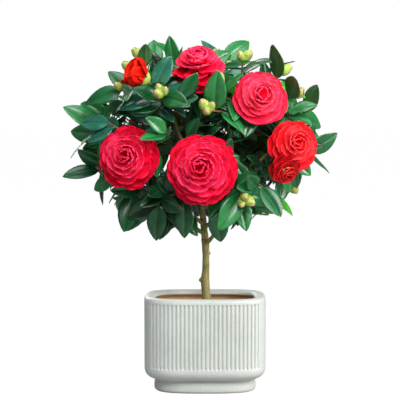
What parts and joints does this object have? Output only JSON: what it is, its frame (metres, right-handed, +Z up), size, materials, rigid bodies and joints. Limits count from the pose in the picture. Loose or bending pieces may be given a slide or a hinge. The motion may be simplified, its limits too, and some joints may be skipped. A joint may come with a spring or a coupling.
{
  "type": "camellia shrub in a ribbed glazed pot",
  "caption": "Flowering camellia shrub with a short leaning trunk, boughs, leafy masses with blooms and buds, standing in an oval ribbed ceramic pot.",
  "frame": {"origin": "centre of the pot's flat underside", "axes": "+Z up along the trunk, +X to the right as seen from the front, -Y out of the pot's long front face"},
  "size_m": [0.4878, 0.3853, 0.6335],
  "materials": {
    "glaze": "matt off-white glaze with a faint green tint and fine speckle",
    "soil": "damp crumbly potting soil",
    "bark": "khaki bark with mossy patches",
    "foliage": "glossy leaves, with pink and red blooms and green buds"
  },
  "bodies": {
    "root": {"pot": "glaze", "soil": "soil", "trunk": "bark", "leader": "bark", "bough_front": "bark", "bough_left_front": "bark", "bough_right_front": "bark", "bough_upper_right": "bark", "bough_upper_left": "bark", "bough_lower_left": "bark", "bough_lower_right": "bark", "bough_right": "bark", "bough_left": "bark", "bough_back_left": "bark", "bough_back_right": "bark", "bough_back_upper": "bark", "bough_back_lower": "bark", "foliage_top": "foliage", "foliage_front": "foliage", "foliage_left_front": "foliage", "foliage_right_front": "foliage", "foliage_upper_right": "foliage", "foliage_upper_left": "foliage", "foliage_lower_left": "foliage", "foliage_lower_right": "foliage", "foliage_right": "foliage", "foliage_left": "foliage", "foliage_back_left": "foliage", "foliage_back_right": "foliage", "foliage_back_upper": "foliage", "foliage_back_lower": "foliage"}
  },
  "joints": []
}
